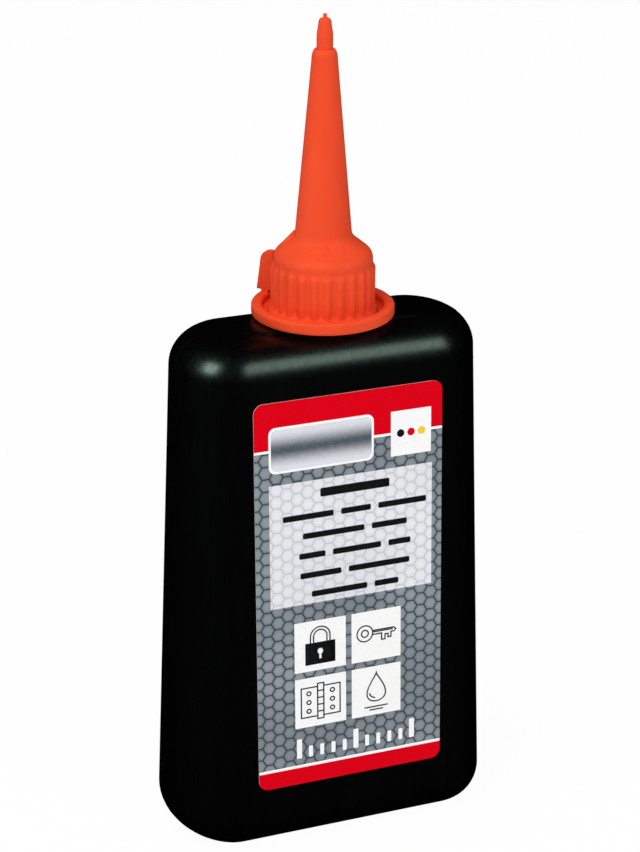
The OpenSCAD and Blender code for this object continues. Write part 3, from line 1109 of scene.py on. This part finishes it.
@dataclass
class TearRing:
    """Ring round the foot of the cap, with its pull tab and the film hinge between them.

    The ring has a thin floor inside its rim. The tab stands behind its hinge line by as much as the rim's
    top lies above that line, so that it comes to rest on the rim when it is bent over.
    """

    hole_r: float = 9.55 * MM
    rim_r: float = 10.5 * MM
    out_r: float = 12.45 * MM
    floor_t: float = 0.9 * MM
    rim_h: float = 2.2 * MM
    round_r: float = 0.6 * MM
    dish: float = 0.12 * MM
    turn_steps: int = 160
    tab_angle: float = radians(130)
    tab_in_r: float = 9.8 * MM
    tab_out_r: float = 13.15 * MM
    tab_lean: float = 1.0 * MM
    tab_t: float = 1.2 * MM
    tab_round: float = 1.6 * MM
    tab_corner: float = 0.4 * MM
    tab_edge: float = 0.25 * MM
    tab_play: float = 0.05 * MM
    web_t: float = 0.3 * MM
    web_h: float = 0.2 * MM
    web_sink: float = 0.15 * MM

    def rim_top(self) -> float:
        """Height of the top of the rim."""
        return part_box("tear_ring")[0].z + self.rim_h

    def tab_back(self) -> float:
        """How far the tab stands behind its hinge line."""
        return self.rim_top() + self.tab_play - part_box("pull_tab")[0].z

    def ring_mesh(self) -> bmesh.types.BMesh:
        """Turned ring with a floor and a rim whose edges are rounded and whose top falls a little inward."""
        low, high, r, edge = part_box("tear_ring")[0].z, self.rim_top(), self.round_r, self.floor_t / 6
        outline = [(self.hole_r + edge, low)]
        outline += arc((self.out_r - r, low + r), (r, r), -QUARTER, 0, 8)
        outline += arc((self.out_r - r, high - r), (r, r), 0, QUARTER, 8)
        outline += arc((self.rim_r + r, high - self.dish - r), (r, r), QUARTER, pi, 8)
        outline += arc((self.rim_r - edge, low + self.floor_t + edge), (edge, edge), 0, -QUARTER, 4)
        outline += arc((self.hole_r + edge, low + self.floor_t - edge), (edge, edge), QUARTER, pi, 4)
        outline += [(self.hole_r, low + edge)]
        return turned(outline, self.turn_steps)

    def tab_frame(self, height: float) -> Matrix:
        """Place of a fin that stands along a radius, its first axis outward and its third one backward."""
        turn = Matrix.Rotation(self.tab_angle, 4, "Z")
        face = Matrix.Translation((0, self.tab_t / 2 - self.tab_back(), height))
        return turn @ face @ Matrix.Rotation(QUARTER, 4, "X")

    def tab_mesh(self) -> bmesh.types.BMesh:
        """Upright fin with rounded upper corners and softened edges."""
        low = self.rim_top() + self.web_h
        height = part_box("pull_tab")[1].z - low
        bm = bmesh.new()
        bmesh.ops.create_grid(bm, x_segments=1, y_segments=1, size=0.5)
        settle(bm, (self.tab_out_r - self.tab_in_r, height, 1),
               ((self.tab_out_r + self.tab_in_r) / 2, height / 2, 0))
        upper = sorted((v for v in bm.verts if v.co.y > height / 2), key=lambda v: v.co.x)
        bmesh.ops.translate(bm, vec=(-self.tab_lean, 0, 0), verts=upper[1:])
        for vert, corner in zip(upper, (self.tab_corner, self.tab_round)):
            round_corners(bm, [vert], corner, 12)
        grown = bmesh.ops.extrude_face_region(bm, geom=bm.faces[:])["geom"]
        bmesh.ops.translate(bm, vec=(0, 0, self.tab_t), verts=points_of(grown))
        rims = [e for e in bm.edges if abs(e.verts[0].co.z - e.verts[1].co.z) < SAME_PLACE]
        bmesh.ops.bevel(bm, geom=rims, offset=self.tab_edge, segments=4, profile=0.5, affect="EDGES",
                        material=-1)
        bmesh.ops.transform(bm, matrix=self.tab_frame(low), verts=bm.verts[:])
        face_outward(bm)
        return bm

    def web_mesh(self, low: float, high: float) -> bmesh.types.BMesh:
        """Thin film along the foot of the tab, cut into rings that can bend."""
        bm = bmesh.new()
        bmesh.ops.create_cube(bm, size=1.0)
        size = (self.out_r - self.rim_r - self.round_r, high - low, self.web_t)
        middle = ((self.out_r + self.rim_r) / 2, (high - low) / 2, self.web_t / 2)
        settle(bm, size, middle)
        uprights = [e for e in bm.edges if abs(e.verts[0].co.y - e.verts[1].co.y) > SAME_PLACE]
        bmesh.ops.subdivide_edges(bm, edges=uprights, cuts=6)
        bmesh.ops.transform(bm, matrix=self.tab_frame(low), verts=bm.verts[:])
        face_outward(bm)
        return bm

    def build(self, shop: Workshop) -> None:
        """Build the ring, the tab and the film between them."""
        shop.fit(piece(self.ring_mesh(), "tear_ring_body", sharp=60), CAP_PLASTIC, Body.RING,
                 instead_of="tear_ring")
        shop.fit(piece(self.tab_mesh(), "pull_tab_plate", sharp=40), CAP_PLASTIC, Body.TAB,
                 instead_of="pull_tab")
        ring_top, tab_foot = self.rim_top(), self.rim_top() + self.web_h
        low, high = ring_top - self.web_sink - self.dish, tab_foot + self.web_sink + self.tab_edge
        web = piece(self.web_mesh(low, high), "film_hinge")
        web.data.materials.append(shop.material(CAP_PLASTIC))
        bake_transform(web)
        log.info("film_hinge bends between ring and tab")


@dataclass(frozen=True)
class Plate:
    """One inked plate of the label.

    Attributes:
        edges: left, right, top and foot, in shares of the label.
        layer: how many inks lie under its face, itself included.
        corner: radius of its corners.
        sides: 4 for a rectangle, more for a round spot.
    """

    edges: Edges
    layer: int = 1
    corner: float = 0.0
    sides: int = 4


def padlock() -> Drawing:
    """Closed padlock with a dark case, hatched round its keyhole."""
    left, middle, right, low, high = 0.22, 0.5, 0.78, 0.14, 0.55
    bow_up, bow_radii, rows = 0.68, (0.19, 0.13), 16
    keyhole_up, keyhole_r, slot_foot, slot_half = 0.38, 0.055, 0.24, 0.022
    lines = [[(middle - r, high)] + arc((middle, bow_up), (r, r), pi, 0, 16) + [(middle + r, high)]
             for r in bow_radii]
    for row in range(1, rows):
        up = low + (high - low) * row / rows
        slot = slot_half if slot_foot < up < keyhole_up else 0.0
        half = max(sqrt(max(keyhole_r ** 2 - (up - keyhole_up) ** 2, 0.0)), slot)
        if half:
            lines += [[(left, up), (middle - half, up)], [(middle + half, up), (right, up)]]
        else:
            lines += [[(left, up), (right, up)]]
    return lines, [[(left, low), (right, low), (right, high), (left, high)]]


def key() -> Drawing:
    """Key with a round bow and a grooved blade."""
    rings = [arc((0.27, 0.56), (r, r), 0, TURN, steps)[:-1] for r, steps in ((0.16, 24), (0.07, 16))]
    blade = [(0.42, 0.60), (0.86, 0.60), (0.90, 0.56), (0.86, 0.52), (0.80, 0.52), (0.80, 0.42), (0.74, 0.42),
             (0.74, 0.49), (0.68, 0.49), (0.68, 0.39), (0.61, 0.39), (0.61, 0.52), (0.42, 0.52)]
    return [blade, [(0.44, 0.57), (0.84, 0.57)]], rings


def hinge() -> Drawing:
    """Butt hinge with its knuckles and screw holes."""
    closed = [[(x0, 0.2), (x1, 0.2), (x1, 0.8), (x0, 0.8)] for x0, x1 in ((0.12, 0.44), (0.56, 0.88))]
    closed += [[(0.44, 0.14), (0.56, 0.14), (0.56, 0.86), (0.44, 0.86)]]
    holes = [(x, y) for x in (0.27, 0.73) for y in (0.32, 0.5, 0.68)]
    closed += [arc(hole, (0.04, 0.04), 0, TURN, 12)[:-1] for hole in holes]
    return [[(0.44, y), (0.56, y)] for y in (0.29, 0.43, 0.57, 0.71)], closed


def drop() -> Drawing:
    """Drop over two level lines."""
    turns = [TURN * k / 40 for k in range(40)]
    outline = [(0.5 + 0.27 * sin(a) * sin(a / 2) ** 1.5, 0.57 + 0.29 * cos(a)) for a in turns]
    shine = arc((0.5, 0.48), (0.14, 0.13), radians(190), radians(260), 8)
    return [shine, [(0.26, 0.17), (0.74, 0.17)], [(0.36, 0.11), (0.64, 0.11)]], [outline]


DRAWINGS: dict[str, Callable[[], Drawing]] = {"padlock": padlock, "key": key, "hinge": hinge, "drop": drop}


@dataclass
class FrontLabel:
    """Printed film on the front face.

    Places on it are shares of its width from the left and of its height from the top. A row of bars is its
    middle, the height of its bars and the width of each. A tick is its height and half of its width.
    """

    base_d: float = 29.7 * MM
    top_d: float = 22.5 * MM
    body_h: float = 95 * MM
    width: float = 35.3 * MM
    height: float = 72.5 * MM
    low: float = 12.05 * MM
    corner: float = 1.8 * MM
    film: float = 0.14 * MM
    ink: float = 0.012 * MM
    line_w: float = 0.24 * MM
    top_band_foot: float = 0.117
    top_line_foot: float = 0.1235
    foot_line_top: float = 0.9485
    foot_band_top: float = 0.956
    white_plate: Edges = (0.076, 0.631, 0.062, 0.178)
    white_round: float = 1.3 * MM
    dot_plate: Edges = (0.723, 0.94, 0.064, 0.178)
    dot_first: float = 0.775
    dot_step: float = 0.0565
    dot_half_w: float = 0.02
    dot_rows: Span = (0.1113, 0.1307)
    grey_plate: Edges = (0.088, 0.619, 0.068, 0.172)
    grey_round: float = 1.05 * MM
    grey_middle: float = 0.12
    grey_reach: float = 3.4 * MM
    pale_plate: Edges = (0.075, 0.946, 0.207, 0.523)
    bar_rows: tuple = ((0.241, 0.022, (0.37,)), (0.297, 0.015, (0.27, 0.16, 0.26)),
                       (0.347, 0.015, (0.33, 0.19)), (0.398, 0.015, (0.14, 0.26, 0.12)),
                       (0.449, 0.015, (0.22, 0.33)), (0.499, 0.015, (0.30, 0.13)))
    bar_middle: float = 0.53
    bar_gap: float = 0.04
    bar_round: float = 0.3 * MM
    square_rows: tuple[Span, Span] = ((0.570, 0.702), (0.719, 0.850))
    square_columns: tuple[Span, Span] = ((0.199, 0.477), (0.508, 0.778))
    tick_count: int = 11
    tick_first: float = 0.22
    tick_run: float = 0.62
    tick_foot: float = 0.931
    tick_round: float = 0.2 * MM
    long_every: int = 5
    long_tick: Span = (0.052, 0.014)
    short_tick: Span = (0.030, 0.011)

    def sheet(self) -> Matrix:
        """Place of the printed face: x to the right and y up from its lower left corner, z outward."""
        slant = atan((self.base_d - self.top_d) / 2 / self.body_h)
        stand = Matrix.Translation((0, -self.base_d / 2, 0)) @ Matrix.Rotation(QUARTER - slant, 4, "X")
        return stand @ Matrix.Translation((-self.width / 2, self.low, self.film))

    def at(self, across: float, down: float) -> Point:
        """Spot on the sheet from its shares."""
        return (across * self.width, (1 - down) * self.height)

    def add(self, bm: bmesh.types.BMesh, plate: Plate) -> None:
        """Add one inked plate to a mesh that lies in the sheet's own place."""
        left, right, top, foot = plate.edges
        (x0, y1), (x1, y0) = self.at(left, top), self.at(right, foot)
        if plate.sides == 4:
            verts = bmesh.ops.create_grid(bm, x_segments=1, y_segments=1, size=0.5)["verts"]
        else:
            verts = bmesh.ops.create_circle(bm, segments=plate.sides, radius=0.5, cap_ends=True)["verts"]
        settle(bm, (x1 - x0, y1 - y0, 1), ((x0 + x1) / 2, (y0 + y1) / 2, -self.ink / 2), verts)
        if plate.corner:
            verts = round_corners(bm, verts, plate.corner, 8)
        lifted = bmesh.ops.extrude_face_region(bm, geom=[verts[0].link_faces[0]])["geom"]
        bmesh.ops.translate(bm, vec=(0, 0, self.ink * (plate.layer + 0.5)), verts=points_of(lifted))

    def printed(self, shop: Workshop, bm: bmesh.types.BMesh, name: str, ink: object) -> bpy.types.Object:
        """Lay a finished print on the label and ride it on the bottle."""
        face_outward(bm)
        bmesh.ops.transform(bm, matrix=self.sheet(), verts=bm.verts[:])
        return shop.fit(piece(bm, name), ink, Body.BOTTLE)

    def lay(self, shop: Workshop, name: str, ink: object, *plates: Plate) -> None:
        """Print some plates as one piece."""
        bm = bmesh.new()
        for plate in plates:
            self.add(bm, plate)
        self.printed(shop, bm, name, ink)

    def bands(self, shop: Workshop) -> None:
        """Red bands at both ends, each cut from the label's own outline, and the white lines beside them."""
        ends = (("top_band", self.top_band_foot, True), ("foot_band", self.foot_band_top, False))
        for name, line, keep_above in ends:
            bm = bmesh.new()
            self.add(bm, Plate((0, 1, 0, 1), corner=self.corner))
            spot = self.at(0, line)
            bmesh.ops.bisect_plane(bm, geom=bm.verts[:] + bm.edges[:] + bm.faces[:], plane_co=(0, spot[1], 0),
                                   plane_no=(0, 1, 0), clear_inner=keep_above, clear_outer=not keep_above)
            bmesh.ops.holes_fill(bm, edges=[e for e in bm.edges if e.is_boundary])
            self.printed(shop, bm, name, RED_INK)
        self.lay(shop, "key_lines", WHITE_INK, Plate((0, 1, self.top_band_foot, self.top_line_foot)),
                 Plate((0, 1, self.foot_line_top, self.foot_band_top)))

    def plaque(self, shop: Workshop) -> None:
        """Bare grey plaque with a plain white border, and a small white square with three colour dots."""
        self.lay(shop, "white_plates", WHITE_INK, Plate(self.white_plate, 2, self.white_round),
                 Plate(self.dot_plate, 2))
        lies = self.sheet() @ Vector((0, self.at(0, self.grey_middle)[1], 0))
        grey = PlaqueInk("plaque_ink", linear(226, 228, 234), linear(82, 92, 102), lies.z, self.grey_reach)
        self.lay(shop, "grey_plaque", grey, Plate(self.grey_plate, 3, self.grey_round))
        for index, ink in enumerate((BLACK_INK, RED_INK, YELLOW_INK)):
            middle = self.dot_first + self.dot_step * index
            dot = Plate((middle - self.dot_half_w, middle + self.dot_half_w, *self.dot_rows), 3, sides=32)
            self.lay(shop, f"colour_dot_{index + 1}", ink, dot)

    def panel(self, shop: Workshop) -> None:
        """Pale panel with rows of plain bars in the place of words."""
        self.lay(shop, "pale_panel", PANEL, Plate(self.pale_plate))
        bars = []
        for down, tall, words in self.bar_rows:
            left = self.bar_middle - (sum(words) + self.bar_gap * (len(words) - 1)) / 2
            for word in words:
                edges = (left, left + word, down - tall / 2, down + tall / 2)
                bars.append(Plate(edges, 2, self.bar_round))
                left += word + self.bar_gap
        self.lay(shop, "word_bars", BLACK_INK, *bars)

    def strokes(self, bm: bmesh.types.BMesh, lines: Iterable[list[Point]], closed: bool) -> None:
        """Add upright ribbons along lines of the sheet, which a wall thickness then widens.

        Args:
            bm: the mesh, in the sheet's own place.
            lines: points of each line.
            closed: whether each line returns to its start.
        """
        for line in lines:
            verts = [bm.verts.new((x, y, -self.ink)) for x, y in line]
            ends = verts[1:] + verts[:1] if closed else verts[1:]
            edges = [bm.edges.new(pair) for pair in zip(verts, ends)]
            grown = bmesh.ops.extrude_edge_only(bm, edges=edges)["geom"]
            bmesh.ops.translate(bm, vec=(0, 0, 4 * self.ink), verts=points_of(grown))

    def pictures(self, shop: Workshop) -> None:
        """Four white squares, each with a plain line drawing."""
        squares = [(*columns, *rows) for rows in self.square_rows for columns in self.square_columns]
        self.lay(shop, "white_squares", WHITE_INK, *(Plate(edges) for edges in squares))
        for (name, draw), (left, right, top, foot) in zip(DRAWINGS.items(), squares):
            (x0, y1), (x1, y0) = self.at(left, top), self.at(right, foot)
            bm = bmesh.new()
            for lines, closed in zip(draw(), (False, True)):
                placed = [[(x0 + (x1 - x0) * x, y0 + (y1 - y0) * y) for x, y in line] for line in lines]
                self.strokes(bm, placed, closed)
            drawn = self.printed(shop, bm, f"drawing_{name}", BLACK_INK)
            thick = drawn.modifiers.new("line", "SOLIDIFY")
            thick.thickness = self.line_w
            thick.offset = 0.0
            thick.use_even_offset = True

    def scale_marks(self, shop: Workshop) -> None:
        """Row of plain white ticks in the place of the quantity."""
        ticks = []
        for index in range(self.tick_count):
            middle = self.tick_first + self.tick_run * index / (self.tick_count - 1)
            tall, half = self.short_tick if index % self.long_every else self.long_tick
            edges = (middle - half, middle + half, self.tick_foot - tall, self.tick_foot)
            ticks.append(Plate(edges, corner=self.tick_round))
        self.lay(shop, "scale_ticks", WHITE_INK, *ticks)

    def build(self, shop: Workshop) -> None:
        """Dress the film and print everything on it."""
        shop.dress_solid("front_label", GROUND)
        self.bands(shop)
        self.plaque(shop)
        self.panel(shop)
        self.pictures(shop)
        self.scale_marks(shop)


def aim(azimuth: float, elevation: float) -> Vector:
    """Direction from the object to something at an azimuth, from the front towards +X, and an elevation."""
    return Vector((sin(azimuth) * cos(elevation), -cos(azimuth) * cos(elevation), sin(elevation)))


@dataclass(frozen=True)
class Softbox:
    """One rectangular studio lamp.

    Attributes:
        name: name of the lamp.
        azimuth, elevation: where it stands, in degrees.
        width, height: its size.
        watts: its power.
        distance: how far it stands from the object.
        mirrored: whether plastic shows its reflection.
        lights: whether it lights plain surfaces.
        tint: its colour.
    """

    name: str
    azimuth: float
    elevation: float
    width: float
    height: float
    watts: float
    distance: float = 1.1
    mirrored: bool = True
    lights: bool = True
    tint: tuple[float, float, float] = (1, 1, 1)

    def build(self, target: Vector) -> None:
        """Hang the lamp and turn it to the object."""
        lamp = bpy.data.lights.new(self.name, "AREA")
        lamp.shape = "RECTANGLE"
        lamp.size, lamp.size_y, lamp.energy, lamp.color = self.width, self.height, self.watts, self.tint
        away = aim(radians(self.azimuth), radians(self.elevation))
        turn = away.to_track_quat("Z", "Y").to_matrix().to_4x4()
        held = bpy.data.objects.new(self.name, lamp)
        held.matrix_world = Matrix.Translation(target + away * self.distance) @ turn
        held.visible_glossy = self.mirrored
        held.visible_diffuse = self.lights
        bpy.context.scene.collection.objects.link(held)


@dataclass
class Studio:
    """Pale floor, soft lamps and the camera of the photograph."""

    azimuth: float = radians(-22.93)
    elevation: float = radians(21.36)
    roll: float = radians(0.43)
    distance: float = 477 * MM
    lens: float = 114.26
    sensor: float = 36
    nearest: float = 10 * MM
    aside: float = -0.328 * MM
    middle_up: float = 74.04 * MM
    ambient: float = 0.36
    gloom: float = 0.0
    floor_half: float = 4.0
    floor_drop: float = 0.02 * MM
    paper_share: float = 0.97
    paper_mottle: float = 30 * MM
    lamps: tuple[Softbox, ...] = (
        Softbox("band_glint", 24, 30, 0.55, 0.5, 5.0, lights=False, tint=(0.7, 1.0, 0.86)),
        Softbox("corner_glint", -75, 33, 0.4, 0.5, 8.7, lights=False, tint=(0.7, 1.0, 0.86)),
        Softbox("main_light", -62, 56, 0.7, 0.7, 7.4, mirrored=False),
        Softbox("right_fill", 16, 36, 0.8, 0.8, 3.3, mirrored=False),
    )

    def camera(self) -> None:
        """Camera at the photograph's viewing angle."""
        back = aim(self.azimuth, self.elevation)
        right = Vector((cos(self.azimuth), sin(self.azimuth), 0))
        up = back.cross(right)
        across = right * cos(self.roll) + up * sin(self.roll)
        upward = up * cos(self.roll) - right * sin(self.roll)
        turn = Matrix((across, upward, back)).transposed().to_4x4()
        spot = Vector((0, 0, self.middle_up)) + right * self.aside + back * self.distance
        data = bpy.data.cameras.new("camera")
        data.lens, data.sensor_width, data.sensor_fit = self.lens, self.sensor, "AUTO"
        data.clip_start = self.nearest
        held = bpy.data.objects.new("camera", data)
        held.matrix_world = Matrix.Translation(spot) @ turn
        bpy.context.scene.collection.objects.link(held)
        bpy.context.scene.camera = held

    def paper(self) -> bpy.types.Material:
        """White paper that keeps a faint shadow, and that the black plastic sees as a dim studio."""
        recipe = Recipe("studio_paper")
        mottle = recipe.noise(self.paper_mottle)
        tone = recipe.blend(mottle, linear(250, 250, 250), linear(253, 253, 253))
        recipe.dress(base_color=tone, roughness=0.9, specular_ior_level=0.0)
        ray = recipe.add("ShaderNodeLightPath").outputs
        white = recipe.add("ShaderNodeEmission")
        dim = recipe.add("ShaderNodeEmission")
        recipe.feed(dim.inputs["Strength"], self.gloom)
        seen = recipe.math("MULTIPLY", ray["Is Camera Ray"], self.paper_share)
        last = recipe.shader
        for share, other in ((seen, white), (ray["Is Glossy Ray"], dim)):
            mixed = recipe.add("ShaderNodeMixShader")
            last = recipe.feed_all(mixed, share, last.outputs[0], other.outputs[0])
        recipe.feed(recipe.nodes["Material Output"].inputs["Surface"], last.outputs[0])
        return recipe.material

    def floor(self) -> None:
        """Plain pale floor under the foot."""
        bm = bmesh.new()
        bmesh.ops.create_grid(bm, x_segments=1, y_segments=1, size=self.floor_half)
        bmesh.ops.translate(bm, vec=(0, 0, -self.floor_drop), verts=bm.verts[:])
        floor = piece(bm, "floor")
        floor.data.materials.append(self.paper())

    def world(self) -> None:
        """Even light all round: white to the camera, plain to the surfaces, dim in reflections."""
        world = bpy.data.worlds.new("studio")
        bpy.context.scene.world = world
        world.use_nodes = True
        nodes, links = world.node_tree.nodes, world.node_tree.links
        ray = nodes.new("ShaderNodeLightPath").outputs
        glossy = nodes.new("ShaderNodeMix")
        camera = nodes.new("ShaderNodeMix")
        share, low, high = 0, 2, 3
        links.new(ray["Is Glossy Ray"], glossy.inputs[share])
        glossy.inputs[low].default_value = self.ambient
        glossy.inputs[high].default_value = self.gloom
        links.new(ray["Is Camera Ray"], camera.inputs[share])
        links.new(glossy.outputs[0], camera.inputs[low])
        camera.inputs[high].default_value = 1.0
        background = nodes["Background"]
        background.inputs["Color"].default_value = (1, 1, 1, 1)
        links.new(camera.outputs[0], background.inputs["Strength"])

    def build(self) -> None:
        """Set up camera, floor, world, lamps and the plain view transform."""
        self.camera()
        self.floor()
        self.world()
        for lamp in self.lamps:
            lamp.build(Vector((0, 0, self.middle_up)))
        bpy.context.scene.view_settings.view_transform = "Standard"


def main() -> None:
    """Build the studio and every sub-assembly."""
    logging.basicConfig(level=logging.INFO, format="%(name)s: %(message)s")
    shop = Workshop()
    Studio().build()
    for assembly in (BottleBody(), FrontLabel(), SpoutCap(), TearRing()):
        assembly.build(shop)
        log.info("%s is built", type(assembly).__name__)


if __name__ == "__main__":
    main()
